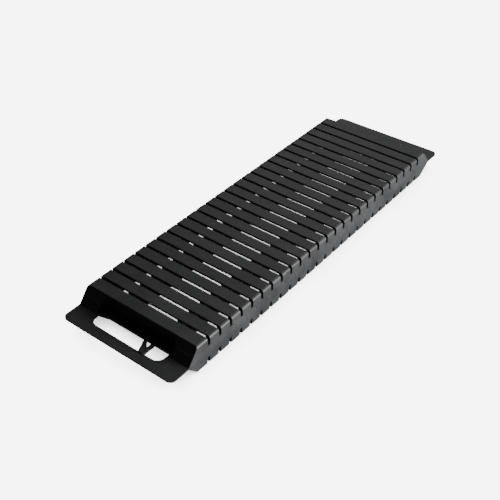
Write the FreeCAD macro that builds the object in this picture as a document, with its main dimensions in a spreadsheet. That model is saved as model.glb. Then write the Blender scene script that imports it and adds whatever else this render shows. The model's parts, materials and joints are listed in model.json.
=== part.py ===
import FreeCAD, Part
import os
import re
import Sketcher

# A tyre traction mat: a chain of ribbed tread links, open underneath, between two
# handle ends.  Each link is an inverted trough with two outer walls and two inner
# ribs.  Every wall and rib is two thin plates side by side: the outer plate ends in
# an eye at the back, the inner plate ends in an eye at the front, and a short pin
# passes through each pair of eyes.
# X runs along the mat, Y across it and Z up.  The origin is on the ground, under
# the middle of the mat.

SIZES = [
    ("pitch", 22.0, "distance from one hinge line to the next"),
    ("slot_width", 4.7, "open slot between two treads"),
    ("link_count", 20, "loose links between the handle ends"),
    ("fixed_treads", 2, "full treads moulded on each handle end"),
    ("mat_height", 45.7, "ground to tread face"),
    ("top_width", 195.4, "across the tread faces"),
    ("middle_width", 195.8, "across the moulding's parting line"),
    ("bottom_width", 190.8, "across the feet of the outer walls"),
    ("parting_height", 21.4, "parting line above the ground, and the middle of the flange"),
    ("shoulder_radius", 4.0, "rounded ends of the treads"),
    ("deck_thickness", 3.3, "tread plate"),
    ("inner_width", 180.4, "between the outer walls"),
    ("wall_plate", 3.7, "inner plate of an outer wall"),
    ("rib_position", 44.0, "middle of an inner rib from the centre line"),
    ("rib_plate", 1.6, "one plate of an inner rib"),
    ("plate_gap", 0.4, "side gap between two plates at a hinge"),
    ("hinge_height", 22.4, "hinge line above the ground"),
    ("eye_radius", 10.6, "rounded end of a plate"),
    ("eye_clearance", 0.4, "radial gap round an eye"),
    ("pin_diameter", 5.0, "hinge pin"),
    ("pin_clearance", 0.08, "radial gap where a pin turns"),
    ("pin_blind", 2.2, "depth of the blind bore in an outer wall"),
    ("pin_end_gap", 0.3, "space past the end of a wall pin"),
    ("nose_length", 20.9, "first slot to the top of the ramp"),
    ("ramp_length", 18.9, "level length of the ramp"),
    ("foot_length", 21.5, "first slot to the front foot"),
    ("flange_reach", 32.0, "flange beyond the foot of the ramp"),
    ("flange_thickness", 2.6, "handle flange"),
    ("flange_corner", 9.0, "corner radius of the flange"),
    ("shell_thickness", 4.0, "walls of the handle end"),
    ("slot_start", 33.7, "first slot to the back of the hand slot"),
    ("hand_slot_width", 22.1, "hand slot, along the mat"),
    ("hand_slot_length", 123.6, "hand slot, across the mat"),
    ("hand_slot_front_corner", 12.0, "front corners of the hand slot"),
    ("hand_slot_back_corner", 2.5, "back corners of the hand slot"),
    ("recess_start", 23.2, "first slot to the face behind the fingers"),
    ("recess_margin", 5.0, "finger recess beyond each end of the hand slot"),
    ("recess_corner", 9.0, "corners of the finger recess"),
    ("groove_width", 1.4, "upright grooves in the recess face"),
    ("groove_depth", 1.5, "depth of those grooves"),
    ("groove_count", 4, "number of those grooves"),
    ("groove_spacing", 36.0, "spacing of those grooves"),
    ("groove_shift", 6.5, "middle of the row of grooves from the centre line"),
    ("ledge_height", 34.2, "small ledge on the ramp above the ground"),
    ("ledge_reach", 1.2, "that ledge, out from the ramp"),
    ("ledge_start", 68.5, "inner end of the ledge from the centre line"),
    ("ledge_length", 23.0, "length of the ledge"),
    ("brace_foot", 31.9, "brace foot from the centre line, at the front"),
    ("brace_back", 26.6, "middle of the brace's back end from the centre line"),
    ("brace_span", 19.7, "width of the brace at its back end"),
    ("brace_foot_width", 9.0, "width of the brace at its foot"),
    ("brace_arm", 4.4, "width of each arm of the brace"),
    ("brace_rise", 1.5, "brace above the flange"),
]

document = FreeCAD.newDocument("traction_mat")
sizes = document.addObject("Spreadsheet::Sheet", "sizes")
for row, (alias, value, note) in enumerate(SIZES, start=1):
    sizes.set(f"A{row}", note)
    sizes.set(f"B{row}", str(value))
    sizes.setAlias(f"B{row}", alias)
document.recompute()


ALIASES = {alias for alias, _, _ in SIZES}


def bind(expression):
    # Every size's name in an expression is read from the sheet.
    return re.sub(r"[a-z_]+", lambda word: f"sizes.{word[0]}" if word[0] in ALIASES else word[0],
                  expression)


def origin_plane(body, role):
    return next(feature for feature in body.Origin.OriginFeatures if feature.Role == role)


def new_sketch(body, name, role, offset="0"):
    # The offset is measured along the plane's own normal.
    sketch = body.newObject("Sketcher::SketchObject", name)
    sketch.AttachmentSupport = [(origin_plane(body, role), "")]
    sketch.MapMode = "FlatFace"
    sketch.setExpression("AttachmentOffset.Base.z", bind(offset))
    return sketch


def pin_point(sketch, geometry, point, across, up):
    for kind, expression in (("DistanceX", across), ("DistanceY", up)):
        value = float(sketch.evalExpression(bind(expression)))
        number = sketch.addConstraint(Sketcher.Constraint(kind, -1, 1, geometry, point, value))
        sketch.setExpression(f"Constraints[{number}]", bind(expression))


def add_outline(sketch, corners):
    values = [FreeCAD.Vector(float(sketch.evalExpression(bind(across))),
                             float(sketch.evalExpression(bind(up))), 0)
              for across, up in corners]
    first = sketch.GeometryCount
    count = len(corners)
    for index in range(count):
        line = Part.LineSegment(values[index], values[(index + 1) % count])
        sketch.addGeometry(line, False)
    for index in range(count):
        following = first + (index + 1) % count
        sketch.addConstraint(Sketcher.Constraint("Coincident", first + index, 2, following, 1))
    for index, (across, up) in enumerate(corners):
        pin_point(sketch, first + index, 1, across, up)


def add_box_outline(sketch, left, right, low, high):
    add_outline(sketch, [(left, low), (right, low), (right, high), (left, high)])


def add_circle(sketch, across, up, radius):
    centre = FreeCAD.Vector(float(sketch.evalExpression(bind(across))),
                            float(sketch.evalExpression(bind(up))), 0)
    size = float(sketch.evalExpression(bind(radius)))
    circle = sketch.addGeometry(Part.Circle(centre, FreeCAD.Vector(0, 0, 1), size), False)
    pin_point(sketch, circle, 3, across, up)
    number = sketch.addConstraint(Sketcher.Constraint("Radius", circle, size))
    sketch.setExpression(f"Constraints[{number}]", bind(radius))


def pad(body, name, sketch, length, symmetric=False, backwards=False):
    feature = body.newObject("PartDesign::Pad", name)
    feature.Profile = sketch
    feature.SideType = "Symmetric" if symmetric else "One side"
    feature.Reversed = backwards
    feature.setExpression("Length", bind(length))
    return feature


def pocket(body, name, sketch, length=None, symmetric=False, backwards=False):
    # Without a length the pocket goes right through.
    feature = body.newObject("PartDesign::Pocket", name)
    feature.Profile = sketch
    feature.SideType = "Symmetric" if symmetric else "One side"
    feature.Reversed = backwards
    if length is None:
        feature.Type = "ThroughAll"
    else:
        feature.setExpression("Length", bind(length))
    return feature


def mirror_across(body, name, features):
    mirror = body.newObject("PartDesign::Mirrored", name)
    mirror.Originals = features
    mirror.MirrorPlane = (origin_plane(body, "XZ_Plane"), [""])
    body.Tip = mirror
    return mirror


def round_edges(body, name, radius, wanted):
    # wanted tells from an edge's ends whether it is one of the edges to round.
    document.recompute()
    base = body.Tip
    names = []
    for number, edge in enumerate(base.Shape.Edges, start=1):
        if edge.Curve.TypeId == "Part::GeomLine" and wanted(edge.Vertexes[0].Point, edge.Vertexes[-1].Point):
            names.append(f"Edge{number}")
    if not names:
        raise RuntimeError(f"{body.Label}: no edges for {name}")
    fillet = body.newObject("PartDesign::Fillet", name)
    fillet.Base = (base, names)
    fillet.setExpression("Radius", bind(radius))
    return fillet


# Layers of an outer wall and of an inner rib, as (start, end) from the centre line.
SPLIT = "inner_width / 2 + wall_plate"
RIB_FRONT = "rib_position - plate_gap / 2 - rib_plate"
RIB_BACK = "rib_position + plate_gap / 2"
FRONT_PLATES = [("inner_width / 2", SPLIT), (RIB_FRONT, RIB_FRONT + " + rib_plate")]
BACK_PLATES = [(SPLIT + " + plate_gap", "middle_width / 2"), (RIB_BACK, RIB_BACK + " + rib_plate")]
WALL_TOP = "hinge_height + eye_radius"
WALL_FOOT = "hinge_height - eye_radius"


def add_section(sketch):
    # The sides slope in above and below the parting line.
    add_outline(sketch, [
        ("-bottom_width / 2", "0"), ("bottom_width / 2", "0"),
        ("middle_width / 2", "parting_height"), ("top_width / 2", "mat_height"),
        ("-top_width / 2", "mat_height"), ("-middle_width / 2", "parting_height")])


def trim_sides(body):
    sketch = new_sketch(body, "side_trim_outline", "YZ_Plane")
    add_section(sketch)
    add_box_outline(sketch, "-middle_width", "middle_width", "-mat_height", "mat_height * 2")
    return pocket(body, "side_trim", sketch, symmetric=True)


def layer_disc(body, name, layer, hinge, radius, cut, before="0", after="0"):
    # A disc about a hinge line, as thick as one layer, widened by before and after.
    start, end = layer
    sketch = new_sketch(body, name + "_outline", "XZ_Plane", f"-({start} - ({before}))")
    add_circle(sketch, hinge, "hinge_height", radius)
    length = f"{end} - ({start}) + ({before}) + ({after})"
    if cut:
        return pocket(body, name, sketch, length, backwards=False)
    return pad(body, name, sketch, length, backwards=True)


def add_eyes(body, back_hinge, front_hinge):
    # Eyes and the room for the neighbour's eyes.  A hinge of None has no such side.
    grown = []
    cut = []
    for kind, back, front in zip(("wall", "rib"), BACK_PLATES, FRONT_PLATES):
        if back_hinge:
            grown.append(layer_disc(body, kind + "_back_eye", back, back_hinge, "eye_radius", False))
        if front_hinge:
            grown.append(layer_disc(body, kind + "_front_eye", front, front_hinge, "eye_radius", False))
    mirror_across(body, "eyes_other_side", grown)
    room = "eye_radius + eye_clearance"
    for kind, back, front in zip(("wall", "rib"), BACK_PLATES, FRONT_PLATES):
        if back_hinge:
            cut.append(layer_disc(body, kind + "_front_room", front, back_hinge, room, True,
                                  "plate_gap", "plate_gap"))
        if front_hinge:
            cut.append(layer_disc(body, kind + "_back_room", back, front_hinge, room, True,
                                  "plate_gap", "plate_gap"))
    mirror_across(body, "rooms_other_side", cut)


def add_pin_bores(body, back_hinge, front_hinge):
    # A pin is tight in the front eye and turns in the back eye.
    cut = []
    running = "pin_diameter / 2 + pin_clearance"
    if back_hinge:
        blind = (BACK_PLATES[0][0], BACK_PLATES[0][0] + " + pin_blind")
        cut.append(layer_disc(body, "wall_back_bore", blind, back_hinge, running, True, "plate_gap"))
        cut.append(layer_disc(body, "rib_back_bore", BACK_PLATES[1], back_hinge, running, True,
                              "plate_gap", "plate_gap"))
    if front_hinge:
        for kind, front in zip(("wall", "rib"), FRONT_PLATES):
            cut.append(layer_disc(body, kind + "_front_bore", front, front_hinge,
                                  "pin_diameter / 2", True, "plate_gap", "plate_gap"))
    mirror_across(body, "bores_other_side", cut)


def add_cells(body, name, corners):
    # The three hollow cells under the deck share one outline, seen from the side.
    middle = new_sketch(body, name + "_middle_outline", "XZ_Plane")
    add_outline(middle, corners)
    pocket(body, name + "_middle", middle, f"2 * ({RIB_FRONT})", symmetric=True)
    rib_outside = RIB_BACK + " + rib_plate"
    side = new_sketch(body, name + "_side_outline", "XZ_Plane", f"-({rib_outside})")
    add_outline(side, corners)
    cut = pocket(body, name + "_side", side, f"inner_width / 2 - ({rib_outside})")
    mirror_across(body, name + "_other_side", [cut])


def round_shoulders(body):
    high = float(sizes.mat_height)

    def is_shoulder(start, end):
        level = abs(start.z - high) < 0.01 and abs(end.z - high) < 0.01
        return level and abs(start.y - end.y) < 0.01 and abs(abs(start.y) - sizes.top_width / 2) < 0.01

    return round_edges(body, "rounded_shoulders", "shoulder_radius", is_shoulder)


def make_tread_link(label):
    body = document.addObject("PartDesign::Body", label)
    body.Label = label
    section = new_sketch(body, "section_outline", "YZ_Plane")
    add_section(section)
    pad(body, "tread_block", section, "pitch - slot_width", symmetric=True)
    add_cells(body, "cell", [("-pitch", "-mat_height"), ("pitch", "-mat_height"),
                             ("pitch", "mat_height - deck_thickness"),
                             ("-pitch", "mat_height - deck_thickness")])
    add_eyes(body, "pitch / 2", "-pitch / 2")
    trim_sides(body)
    round_shoulders(body)
    add_pin_bores(body, "pitch / 2", "-pitch / 2")
    return body


def make_handle_end(label, side):
    # side is -1 for the near end and 1 for the far end; out() turns a length
    # measured outwards from the end's first slot into X.
    body = document.addObject("PartDesign::Body", label)
    body.Label = label

    def out(length):
        return f"{side} * ({length})"

    inner = "slot_width / 2 - fixed_treads * pitch"
    ramp_foot = "nose_length + ramp_length"
    flange_top = "parting_height + flange_thickness / 2"
    flange_low = "parting_height - flange_thickness / 2"
    tip = ramp_foot + " + flange_reach"
    outline = new_sketch(body, "end_outline", "XZ_Plane")
    add_outline(outline, [
        (out(inner), "0"), (out("foot_length"), "0"), (out(ramp_foot), flange_low),
        (out(tip), flange_low), (out(tip), flange_top), (out(ramp_foot), flange_top),
        (out("nose_length"), "mat_height"), (out(inner), "mat_height")])
    pad(body, "end_block", outline, "middle_width", symmetric=True)

    face = "recess_start - shell_thickness"
    roof = "mat_height - deck_thickness"
    add_cells(body, "cell", [
        (out(inner + " - pitch"), "-mat_height"),
        (out(inner + " - pitch"), roof),
        (out("nose_length - shell_thickness"), roof),
        (out(face), f"{roof} - shell_thickness"),
        (out(face), flange_low),
        (out("slot_start - shell_thickness"), flange_low),
        (out("foot_length - shell_thickness"), "-shell_thickness / 2"),
        (out("foot_length - shell_thickness"), "-mat_height")])

    hinge = out("-fixed_treads * pitch")
    back_hinge = hinge if side < 0 else None
    front_hinge = hinge if side > 0 else None
    add_eyes(body, back_hinge, front_hinge)

    # Slots beside the treads that belong to this end.
    for number in range(int(sizes.fixed_treads)):
        place = f"-{number} * pitch"
        notch = new_sketch(body, f"notch_outline_{number}", "XZ_Plane")
        for low, high in ((WALL_TOP, "mat_height * 2"), ("-mat_height", WALL_FOOT)):
            add_box_outline(notch, out(place + " - slot_width / 2"), out(place + " + slot_width / 2"),
                            low, high)
        pocket(body, f"notch_{number}", notch, symmetric=True)
    trim_sides(body)
    round_shoulders(body)

    recess_half = "hand_slot_length / 2 + recess_margin"
    recess = new_sketch(body, "recess_outline", "XY_Plane", flange_top)
    add_box_outline(recess, out("recess_start"), out(ramp_foot + " + flange_thickness"),
                    "-(" + recess_half + ")", recess_half)
    pocket(body, "finger_recess", recess, "mat_height", backwards=True)

    def upright_at(along):
        place = side * along

        def is_wanted(start, end):
            upright = abs(start.x - end.x) < 0.01 and abs(start.y - end.y) < 0.01
            return upright and abs(start.x - place) < 0.01
        return is_wanted

    round_edges(body, "rounded_recess", "recess_corner", upright_at(float(sizes.recess_start)))

    grooves = new_sketch(body, "groove_outline", "XY_Plane", flange_top)
    for number in range(int(sizes.groove_count)):
        middle = f"({number} - (groove_count - 1) / 2) * groove_spacing - groove_shift"
        add_box_outline(grooves, out("recess_start - groove_depth"), out("recess_start + groove_depth"),
                        middle + " - groove_width / 2", middle + " + groove_width / 2")
    pocket(body, "recess_grooves", grooves, "mat_height", backwards=True)

    slot = new_sketch(body, "hand_slot_outline", "XY_Plane", "-mat_height")
    add_box_outline(slot, out("slot_start"), out("slot_start + hand_slot_width"),
                    "-hand_slot_length / 2", "hand_slot_length / 2")
    pocket(body, "hand_slot", slot, "mat_height * 3", backwards=True)
    slot_front = float(sizes.slot_start + sizes.hand_slot_width)
    round_edges(body, "slot_front_corners", "hand_slot_front_corner", upright_at(slot_front))
    round_edges(body, "slot_back_corners", "hand_slot_back_corner",
                upright_at(float(sizes.slot_start)))

    # Under the hand slot the front wall leans back to leave room for the fingers.
    lean = new_sketch(body, "lean_outline", "XZ_Plane")
    add_outline(lean, [
        (out("foot_length"), "0"), (out("slot_start"), flange_low), (out(ramp_foot), flange_low),
        (out(ramp_foot), "0")])
    pocket(body, "front_wall_lean", lean, "hand_slot_length", symmetric=True)

    brace = new_sketch(body, "brace_outline", "XY_Plane", flange_low)
    back = "slot_start - flange_thickness"
    front = "slot_start + hand_slot_width + flange_thickness / 2"
    add_outline(brace, [
        (out(front), "-brace_foot - brace_foot_width / 2"),
        (out(front), "-brace_foot + brace_foot_width / 2"),
        (out(back), "-brace_back + brace_span / 2"),
        (out(back), "-brace_back - brace_span / 2")])
    add_outline(brace, [
        (out(front + " - hand_slot_width / 2"), "-brace_foot"),
        (out("slot_start"), "-brace_back + brace_span / 2 - brace_arm"),
        (out("slot_start"), "-brace_back - brace_span / 2 + brace_arm")])
    pad(body, "brace", brace, "flange_thickness + brace_rise")


    # A short ledge runs across each cheek of the ramp.
    ledge = new_sketch(body, "ledge_outline", "XZ_Plane", "-ledge_start")
    slope = f"ramp_length / (mat_height - ({flange_top}))"

    def ramp_at(height):
        return f"nose_length + (mat_height - ({height})) * {slope}"

    low = "ledge_height - ledge_reach"
    add_outline(ledge, [
        (out(ramp_at("ledge_height") + " - ledge_reach"), "ledge_height"),
        (out(ramp_at("ledge_height") + " + ledge_reach"), "ledge_height"),
        (out(ramp_at(low) + " + ledge_reach / 2"), low),
        (out(ramp_at(low) + " - ledge_reach"), low)])
    one_ledge = pad(body, "ledge", ledge, "ledge_length", backwards=True)
    mirror_across(body, "ledge_other_side", [one_ledge])

    add_pin_bores(body, back_hinge, front_hinge)
    tip_place = side * float(sizes.nose_length + sizes.ramp_length + sizes.flange_reach)

    def is_flange_corner(start, end):
        return abs(start.x - tip_place) < 0.01 and abs(end.x - tip_place) < 0.01 and start.y * end.y > 0

    round_edges(body, "flange_corners", "flange_corner", is_flange_corner)
    return body


def clone_body(original, label):
    body = document.addObject("PartDesign::Body", label)
    body.Label = label
    copy = body.newObject("PartDesign::FeatureBase", "same_as_first")
    copy.BaseFeature = original
    body.Tip = copy
    return body


def make_pins(label):
    # Two wall pins and two rib pins on one hinge line.
    pins = []
    wall = ("inner_width / 2", "wall_plate + plate_gap + pin_blind - pin_end_gap")
    rib = (RIB_FRONT, "2 * rib_plate + plate_gap")
    for name, (start, length) in (("wall", wall), ("rib", rib)):
        for hand, sign in (("left", 1), ("right", -1)):
            pin = document.addObject("Part::Cylinder", f"{label}_{name}_{hand}")
            pin.setExpression("Radius", bind("pin_diameter / 2"))
            pin.setExpression("Height", bind(length))
            pin.Placement.Rotation = FreeCAD.Rotation(FreeCAD.Vector(1, 0, 0), -90 * sign)
            pin.setExpression("Placement.Base.y", bind(f"{sign} * ({start})"))
            pins.append(pin)
    group = document.addObject("Part::Compound", label)
    group.Label = label
    group.Links = pins
    return group


def place(part, along, up="0"):
    part.setExpression("Placement.Base.x", bind(along))
    part.setExpression("Placement.Base.z", bind(up))


link_count = int(sizes.link_count)
subparts = []

near_end = make_handle_end("handle_end_near", -1)
place(near_end, "-(link_count / 2 + fixed_treads) * pitch")
far_end = make_handle_end("handle_end_far", 1)
place(far_end, "(link_count / 2 + fixed_treads) * pitch")
subparts += [near_end, far_end]

first_link = make_tread_link("tread_link_01")
links = [first_link]
for number in range(2, link_count + 1):
    links.append(clone_body(first_link, f"tread_link_{number:02d}"))
for number, link in enumerate(links):
    place(link, f"({number} + 0.5 - link_count / 2) * pitch")
subparts += links

for number in range(link_count + 1):
    pins = make_pins(f"hinge_pins_{number + 1:02d}")
    place(pins, f"({number} - link_count / 2) * pitch", "hinge_height")
    subparts.append(pins)

document.recompute()

for item in document.Objects:
    if "Invalid" in item.State or "Error" in item.State:
        raise RuntimeError(f"{item.Label} did not build: {item.State}")
for subpart in subparts:
    if subpart.Shape.isNull() or not subpart.Shape.isValid():
        raise RuntimeError(f"{subpart.Label} has no valid shape")

os.makedirs("parts", exist_ok=True)
for subpart in subparts:
    subpart.Shape.exportStep(f"parts/{subpart.Label}.step")
    print(subpart.Label, len(subpart.Shape.Solids), round(subpart.Shape.Volume))
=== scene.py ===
import json
import math

import bmesh
import bpy
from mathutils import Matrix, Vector


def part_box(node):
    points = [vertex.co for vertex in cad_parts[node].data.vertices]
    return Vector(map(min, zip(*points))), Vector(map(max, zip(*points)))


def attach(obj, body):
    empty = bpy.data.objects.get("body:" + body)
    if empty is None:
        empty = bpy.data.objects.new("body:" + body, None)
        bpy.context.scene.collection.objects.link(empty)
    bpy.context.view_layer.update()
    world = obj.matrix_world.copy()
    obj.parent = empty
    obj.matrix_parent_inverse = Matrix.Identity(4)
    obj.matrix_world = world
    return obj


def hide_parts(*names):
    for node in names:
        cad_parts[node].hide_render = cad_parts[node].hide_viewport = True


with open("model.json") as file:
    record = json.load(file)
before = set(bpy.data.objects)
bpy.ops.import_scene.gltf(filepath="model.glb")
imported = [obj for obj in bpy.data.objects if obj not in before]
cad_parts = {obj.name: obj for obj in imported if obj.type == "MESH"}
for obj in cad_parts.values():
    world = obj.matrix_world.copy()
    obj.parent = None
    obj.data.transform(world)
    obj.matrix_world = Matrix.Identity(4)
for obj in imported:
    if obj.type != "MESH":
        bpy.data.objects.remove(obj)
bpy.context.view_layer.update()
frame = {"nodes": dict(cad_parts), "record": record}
record = frame["record"]
bodyNodes = record["behaviour"]["bodies"]


# ---- small helpers for node trees and meshes

def addNode(tree, kind, place=(0, 0), **settings):
    node = tree.nodes.new(kind)
    node.location = place
    for name, value in settings.items():
        setattr(node, name, value)
    return node


def join(tree, source, target):
    tree.links.new(source, target)


def setInputs(node, **values):
    for name, value in values.items():
        node.inputs[name].default_value = value


def newObject(name, mesh):
    piece = bpy.data.objects.new(name, mesh)
    bpy.context.scene.collection.objects.link(piece)
    return piece


# ---- moulded black plastic

mouldLook = {
    "dark": (0.020, 0.021, 0.022, 1.0),
    "light": (0.034, 0.035, 0.036, 1.0),
    "edge": (0.085, 0.087, 0.088, 1.0),
    "roughLow": 0.46,
    "roughHigh": 0.62,
    "grainScale": 1500.0,    # fine spark-eroded grain, per metre
    "flowScale": 22.0,       # broad marks left by the melt
    "speckleScale": 420.0,   # dust and tiny scuffs
    "speckleLow": 0.80,
    "speckleHigh": 1.25,
    "scuffScale": 180.0,     # patches along the rubbed edges
    "grainDepth": 0.00008,
    "grainStrength": 0.5,
    "flowDepth": 0.0004,
    "flowStrength": 0.25,
    "flowDark": 0.35,        # where the flow marks start and end
    "flowLight": 0.70,
    "noiseLow": 0.3,         # the part of a noise that is used
    "noiseHigh": 0.7,
    "specular": 0.45,
}


def makeMouldMaterial(look):
    material = bpy.data.materials.new("mouldedBlack")
    material.use_nodes = True
    tree = material.node_tree
    tree.nodes.clear()
    output = addNode(tree, "ShaderNodeOutputMaterial", (900, 0))
    shader = addNode(tree, "ShaderNodeBsdfPrincipled", (620, 0))
    setInputs(shader, **{"Specular IOR Level": look["specular"], "Metallic": 0.0})
    place = addNode(tree, "ShaderNodeTexCoord", (-1100, 0))

    flow = addNode(tree, "ShaderNodeTexNoise", (-860, 200))
    setInputs(flow, Scale=look["flowScale"], Detail=4.0, Roughness=0.55)
    join(tree, place.outputs["Object"], flow.inputs["Vector"])
    colours = addNode(tree, "ShaderNodeValToRGB", (-560, 260))
    colours.color_ramp.elements[0].position = look["flowDark"]
    colours.color_ramp.elements[0].color = look["dark"]
    colours.color_ramp.elements[1].position = look["flowLight"]
    colours.color_ramp.elements[1].color = look["light"]
    join(tree, flow.outputs["Fac"], colours.inputs["Fac"])

    speckle = addNode(tree, "ShaderNodeTexNoise", (-860, -20))
    setInputs(speckle, Scale=look["speckleScale"], Detail=3.0, Roughness=0.65)
    join(tree, place.outputs["Object"], speckle.inputs["Vector"])
    speckleLift = addNode(tree, "ShaderNodeMapRange", (-560, -20))
    setInputs(speckleLift, **{"From Min": look["noiseLow"], "From Max": look["noiseHigh"],
                              "To Min": look["speckleLow"], "To Max": look["speckleHigh"]})
    join(tree, speckle.outputs["Fac"], speckleLift.inputs["Value"])

    # Handled edges are a little paler than the faces.
    rubbed = addNode(tree, "ShaderNodeAttribute", (-860, 520), attribute_name="rubbedEdge")
    scuff = addNode(tree, "ShaderNodeTexNoise", (-860, 760))
    setInputs(scuff, Scale=look["scuffScale"], Detail=3.0, Roughness=0.6)
    join(tree, place.outputs["Object"], scuff.inputs["Vector"])
    amount = addNode(tree, "ShaderNodeMath", (-560, 600), operation="MULTIPLY")
    join(tree, rubbed.outputs["Fac"], amount.inputs[0])
    join(tree, scuff.outputs["Fac"], amount.inputs[1])
    paint = addNode(tree, "ShaderNodeMix", (-240, 300), data_type="RGBA")
    join(tree, amount.outputs[0], paint.inputs["Factor"])
    join(tree, colours.outputs["Color"], paint.inputs["A"])
    paint.inputs["B"].default_value = look["edge"]

    tone = addNode(tree, "ShaderNodeAttribute", (-240, 560), attribute_name="linkTone")
    lift = addNode(tree, "ShaderNodeHueSaturation", (40, 300))
    brightness = addNode(tree, "ShaderNodeMath", (-40, 520), operation="ADD")
    join(tree, tone.outputs["Fac"], brightness.inputs[0])
    join(tree, speckleLift.outputs["Result"], brightness.inputs[1])
    join(tree, brightness.outputs[0], lift.inputs["Value"])
    join(tree, paint.outputs["Result"], lift.inputs["Color"])
    join(tree, lift.outputs["Color"], shader.inputs["Base Color"])

    gloss = addNode(tree, "ShaderNodeMapRange", (-240, -40))
    setInputs(gloss, **{"From Min": look["noiseLow"], "From Max": look["noiseHigh"],
                        "To Min": look["roughLow"], "To Max": look["roughHigh"]})
    join(tree, flow.outputs["Fac"], gloss.inputs["Value"])
    join(tree, gloss.outputs["Result"], shader.inputs["Roughness"])

    grain = addNode(tree, "ShaderNodeTexNoise", (-860, -300))
    setInputs(grain, Scale=look["grainScale"], Detail=2.0, Roughness=0.7)
    join(tree, place.outputs["Object"], grain.inputs["Vector"])
    grainBump = addNode(tree, "ShaderNodeBump", (40, -300))
    setInputs(grainBump, Strength=look["grainStrength"], Distance=look["grainDepth"])
    join(tree, grain.outputs["Fac"], grainBump.inputs["Height"])
    flowBump = addNode(tree, "ShaderNodeBump", (320, -300))
    setInputs(flowBump, Strength=look["flowStrength"], Distance=look["flowDepth"])
    join(tree, flow.outputs["Fac"], flowBump.inputs["Height"])
    join(tree, grainBump.outputs["Normal"], flowBump.inputs["Normal"])
    join(tree, flowBump.outputs["Normal"], shader.inputs["Normal"])
    join(tree, shader.outputs["BSDF"], output.inputs["Surface"])
    return material


pinLook = {
    "colour": (0.52, 0.53, 0.54, 1.0),
    "roughLow": 0.22,
    "roughHigh": 0.42,
    "drawnScale": 900.0,
    "drawnStretch": (1.0, 0.04, 1.0),  # the drawing lines run along the pin
    "drawnDepth": 0.00002,
    "drawnStrength": 0.3,
}


def makePinMaterial(look):
    material = bpy.data.materials.new("drawnSteel")
    material.use_nodes = True
    tree = material.node_tree
    shader = tree.nodes["Principled BSDF"]
    setInputs(shader, **{"Base Color": look["colour"], "Metallic": 1.0})
    place = addNode(tree, "ShaderNodeTexCoord", (-900, 0))
    stretch = addNode(tree, "ShaderNodeMapping", (-700, 0))
    setInputs(stretch, Scale=look["drawnStretch"])
    join(tree, place.outputs["Object"], stretch.inputs["Vector"])
    lines = addNode(tree, "ShaderNodeTexNoise", (-500, 0))
    setInputs(lines, Scale=look["drawnScale"], Detail=3.0)
    join(tree, stretch.outputs["Vector"], lines.inputs["Vector"])
    gloss = addNode(tree, "ShaderNodeMapRange", (-260, 0))
    setInputs(gloss, **{"To Min": look["roughLow"], "To Max": look["roughHigh"]})
    join(tree, lines.outputs["Fac"], gloss.inputs["Value"])
    join(tree, gloss.outputs["Result"], shader.inputs["Roughness"])
    bump = addNode(tree, "ShaderNodeBump", (-260, -260))
    setInputs(bump, Strength=look["drawnStrength"], Distance=look["drawnDepth"])
    join(tree, lines.outputs["Fac"], bump.inputs["Height"])
    join(tree, bump.outputs["Normal"], shader.inputs["Normal"])
    return material


mouldedBlack = makeMouldMaterial(mouldLook)
drawnSteel = makePinMaterial(pinLook)
print("materials made")


# ---- mouldings with eased edges

edgeLook = {
    "radius": 0.0006,
    "segments": 2,
    "sharperThan": 32.0,   # degrees, edges that the tool maker eased
    "flatWithin": 0.4,     # degrees, triangles that belong to one flat face
    "smoothBelow": 40.0,   # degrees, facets that read as one curve
    "weld": 0.000002,
}


def easedMoulding(name, node, look, shift=0.0):
    # The moulding's own shape, each sharp edge eased as it leaves the tool.
    shape = bmesh.new()
    shape.from_mesh(frame["nodes"][node].data)
    bmesh.ops.remove_doubles(shape, verts=shape.verts, dist=look["weld"])
    bmesh.ops.dissolve_limit(shape, angle_limit=math.radians(look["flatWithin"]),
                             verts=shape.verts, edges=shape.edges)
    limit = math.radians(look["sharperThan"])
    sharp = [edge for edge in shape.edges
             if len(edge.link_faces) == 2 and edge.calc_face_angle(0.0) > limit]
    eased = bmesh.ops.bevel(shape, geom=sharp, offset=look["radius"], offset_type="OFFSET",
                            segments=look["segments"], profile=0.5, affect="EDGES",
                            clamp_overlap=True, miter_outer="ARC")
    rubbed = set(eased["faces"])
    smoothLimit = math.radians(look["smoothBelow"])
    for edge in shape.edges:
        sides = [face in rubbed for face in edge.link_faces]
        same = len(sides) == 2 and sides[0] == sides[1]
        edge.smooth = same and edge.calc_face_angle(0.0) < smoothLimit
    for face in shape.faces:
        face.smooth = True
    marks = [1.0 if face in rubbed else 0.0 for face in shape.faces]
    bmesh.ops.translate(shape, verts=shape.verts, vec=(shift, 0.0, 0.0))
    mesh = bpy.data.meshes.new(name)
    shape.to_mesh(mesh)
    shape.free()
    mesh.attributes.new("rubbedEdge", "FLOAT", "FACE").data.foreach_set("value", marks)
    return mesh


def finishMoulding(piece, body, node):
    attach(piece, body)
    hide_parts(node)


for body, nodes in bodyNodes.items():
    for node in nodes:
        if node.startswith("hinge_pins"):
            pins = frame["nodes"][node]
            pins.data.materials.clear()
            pins.data.materials.append(drawnSteel)
print("hinge pins dressed")

for end in ("near", "far"):
    node = f"handle_end_{end}"
    mesh = easedMoulding(f"handle.{end}", node, edgeLook)
    mesh.materials.append(mouldedBlack)
    finishMoulding(newObject(f"handle.{end}", mesh), f"{end}_end", node)
print("handle ends made")


# ---- tread links: one moulding, repeated along the hinge lines

treadLook = {
    "seed": 7,
    "toneSpread": 0.10,    # how far one link's black strays from the next
}


def addInput(tree, name, kind, value=None):
    socket = tree.interface.new_socket(name, in_out="INPUT", socket_type=kind)
    if value is not None:
        socket.default_value = value
    return socket


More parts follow.
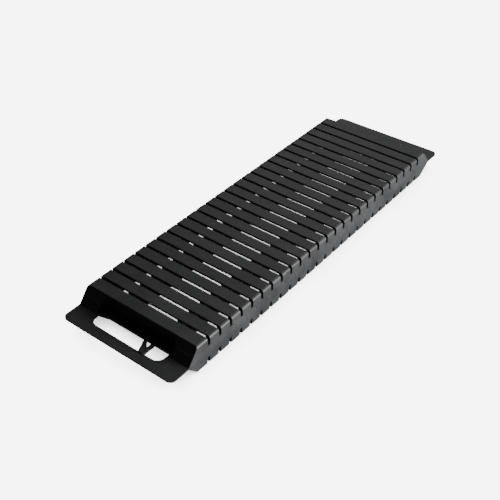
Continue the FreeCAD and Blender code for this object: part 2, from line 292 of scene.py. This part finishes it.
def makeTreadTree():
    tree = bpy.data.node_groups.new("treadRow", "GeometryNodeTree")
    addInput(tree, "Geometry", "NodeSocketGeometry")
    addInput(tree, "First", "NodeSocketFloat", 0.0)
    addInput(tree, "Pitch", "NodeSocketFloat", 0.02)
    addInput(tree, "Number", "NodeSocketInt", 0)
    addInput(tree, "Tone Spread", "NodeSocketFloat", 0.1)
    addInput(tree, "Seed", "NodeSocketInt", 0)
    addInput(tree, "Plastic", "NodeSocketMaterial")
    tree.interface.new_socket("Geometry", in_out="OUTPUT", socket_type="NodeSocketGeometry")
    given = addNode(tree, "NodeGroupInput", (-900, 0))
    result = addNode(tree, "NodeGroupOutput", (900, 0))

    along = addNode(tree, "ShaderNodeMath", (-700, -200), operation="MULTIPLY_ADD")
    join(tree, given.outputs["Number"], along.inputs[0])
    join(tree, given.outputs["Pitch"], along.inputs[1])
    join(tree, given.outputs["First"], along.inputs[2])
    spot = addNode(tree, "ShaderNodeCombineXYZ", (-500, -200))
    join(tree, along.outputs[0], spot.inputs["X"])
    points = addNode(tree, "GeometryNodePoints", (-300, -100))
    join(tree, spot.outputs[0], points.inputs["Position"])
    copies = addNode(tree, "GeometryNodeInstanceOnPoints", (-100, 0))
    join(tree, points.outputs[0], copies.inputs["Points"])
    join(tree, given.outputs["Geometry"], copies.inputs["Instance"])
    solid = addNode(tree, "GeometryNodeRealizeInstances", (100, 0))
    join(tree, copies.outputs[0], solid.inputs["Geometry"])

    low = addNode(tree, "ShaderNodeMath", (-300, -400), operation="MULTIPLY")
    low.inputs[1].default_value = -1.0
    join(tree, given.outputs["Tone Spread"], low.inputs[0])
    tone = addNode(tree, "FunctionNodeRandomValue", (-100, -400), data_type="FLOAT")
    floats = [socket for socket in tone.inputs if socket.type == "VALUE"]
    join(tree, low.outputs[0], floats[0])
    join(tree, given.outputs["Tone Spread"], floats[1])
    join(tree, given.outputs["Number"], tone.inputs["ID"])
    join(tree, given.outputs["Seed"], tone.inputs["Seed"])
    drawn = next(socket for socket in tone.outputs if socket.type == "VALUE")
    marked = addNode(tree, "GeometryNodeStoreNamedAttribute", (300, 0), data_type="FLOAT")
    marked.inputs["Name"].default_value = "linkTone"
    join(tree, solid.outputs[0], marked.inputs["Geometry"])
    join(tree, drawn, marked.inputs["Value"])
    painted = addNode(tree, "GeometryNodeSetMaterial", (600, 0))
    join(tree, marked.outputs[0], painted.inputs["Geometry"])
    join(tree, given.outputs["Plastic"], painted.inputs["Material"])
    join(tree, painted.outputs[0], result.inputs["Geometry"])
    return tree


def treadAt(tree, master, name, values):
    source = newObject(name + ".source", master)
    maker = source.modifiers.new("treads", "NODES")
    maker.node_group = tree
    for socket in tree.interface.items_tree:
        if socket.in_out == "INPUT" and socket.name in values:
            maker[socket.identifier] = values[socket.name]
    bpy.context.view_layer.update()
    view = bpy.context.evaluated_depsgraph_get()
    mesh = bpy.data.meshes.new_from_object(source.evaluated_get(view), depsgraph=view)
    mesh.name = name
    source.modifiers.remove(maker)
    bpy.data.objects.remove(source)
    return newObject(name, mesh)


linkBodies = sorted(body for body in bodyNodes if body.startswith("link_"))
linkNodes = [next(node for node in bodyNodes[body] if node.startswith("tread_link"))
             for body in linkBodies]
middles = [(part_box(node)[0].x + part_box(node)[1].x) / 2 for node in linkNodes]
treadTree = makeTreadTree()
masterTread = easedMoulding("treadMaster", linkNodes[0], edgeLook, -middles[0])
for number, (body, node) in enumerate(zip(linkBodies, linkNodes)):
    piece = treadAt(treadTree, masterTread, f"tread.{number + 1:02d}", {
        "First": middles[0], "Pitch": middles[1] - middles[0], "Number": number,
        "Tone Spread": treadLook["toneSpread"], "Seed": treadLook["seed"],
        "Plastic": mouldedBlack})
    finishMoulding(piece, body, node)
print("tread links made:", len(linkBodies), "of", len(masterTread.polygons), "faces")


# ---- floor, light and camera

studio = {
    "floorSize": 6.0,
    "floorOpen": 7.0,
    # glow of the floor inside the painted shadow under and around the mat
    "floorInPaintedShadow": 0.30,
    "shadeReach": 0.15,
    "shadeFrom": 0.22,
    "shadeTo": 0.34,
    "worldColour": (1.0, 1.0, 1.0, 1.0),
    "worldStrength": 0.05,
    "lamps": [
        {"name": "key", "at": (0.7, -2.7, 0.35), "size": 1.2, "power": 330.0},
        {"name": "top", "at": (1.7, -0.3, 2.1), "size": 1.6, "power": 13.0},
        {"name": "back", "at": (2.3, 1.8, 1.3), "size": 1.5, "power": 8.0},
    ],
}
lens = {
    "at": (-0.83259, -0.61205, 0.78952),
    "target": (-0.09386, -0.03059, 0.04571),
    "focal": 61.097,
    "sensor": 36.0,
    "tilt": -0.2142,          # degrees
    "shift": (-0.001, 0.001),  # share of the frame
}


def makeFloor(look):
    half = look["floorSize"] / 2
    mesh = bpy.data.meshes.new("floor")
    corners = [(-half, -half, 0), (half, -half, 0), (half, half, 0), (-half, half, 0)]
    mesh.from_pydata(corners, [], [(0, 1, 2, 3)])
    floor = newObject("floor", mesh)
    floor.visible_diffuse = False
    floor.visible_glossy = False
    material = bpy.data.materials.new("paleFloor")
    material.use_nodes = True
    tree = material.node_tree
    tree.nodes.clear()
    output = addNode(tree, "ShaderNodeOutputMaterial", (400, 0))
    glow = addNode(tree, "ShaderNodeEmission", (200, 0))
    # Painted shadow: the floor's glow is dimmed from floorOpen down to the shadow level
    # where ambient occlusion finds the mat close by, under it and around its foot.
    shade = addNode(tree, "ShaderNodeAmbientOcclusion", (-400, 0), samples=4)
    setInputs(shade, Distance=look["shadeReach"])
    paintedShadowLevel = addNode(tree, "ShaderNodeMapRange", (-100, 0))
    setInputs(paintedShadowLevel, **{"From Min": look["shadeFrom"], "From Max": look["shadeTo"],
                        "To Min": look["floorInPaintedShadow"], "To Max": look["floorOpen"]})
    join(tree, shade.outputs["AO"], paintedShadowLevel.inputs["Value"])
    join(tree, paintedShadowLevel.outputs["Result"], glow.inputs["Strength"])
    join(tree, glow.outputs["Emission"], output.inputs["Surface"])
    mesh.materials.append(material)


def aim(thing, target):
    direction = Vector(target) - thing.location
    thing.rotation_euler = direction.to_track_quat("-Z", "Y").to_euler()


def makeLamps(look):
    for lamp in look["lamps"]:
        data = bpy.data.lights.new(lamp["name"], "AREA")
        data.size = lamp["size"]
        data.energy = lamp["power"]
        light = newObject(lamp["name"], data)
        light.location = lamp["at"]
        aim(light, (0, 0, 0))


def makeWorld(look):
    world = bpy.data.worlds.new("studio")
    world.use_nodes = True
    setInputs(world.node_tree.nodes["Background"],
              Color=look["worldColour"], Strength=look["worldStrength"])
    bpy.context.scene.world = world


def makeCamera(look):
    data = bpy.data.cameras.new("camera")
    data.lens = look["focal"]
    data.sensor_width = look["sensor"]
    data.shift_x, data.shift_y = look["shift"]
    camera = newObject("camera", data)
    camera.location = look["at"]
    aim(camera, look["target"])
    camera.rotation_euler.rotate_axis("Z", math.radians(look["tilt"]))
    bpy.context.scene.camera = camera


makeFloor(studio)
makeLamps(studio)
makeWorld(studio)
makeCamera(lens)
print("studio made")
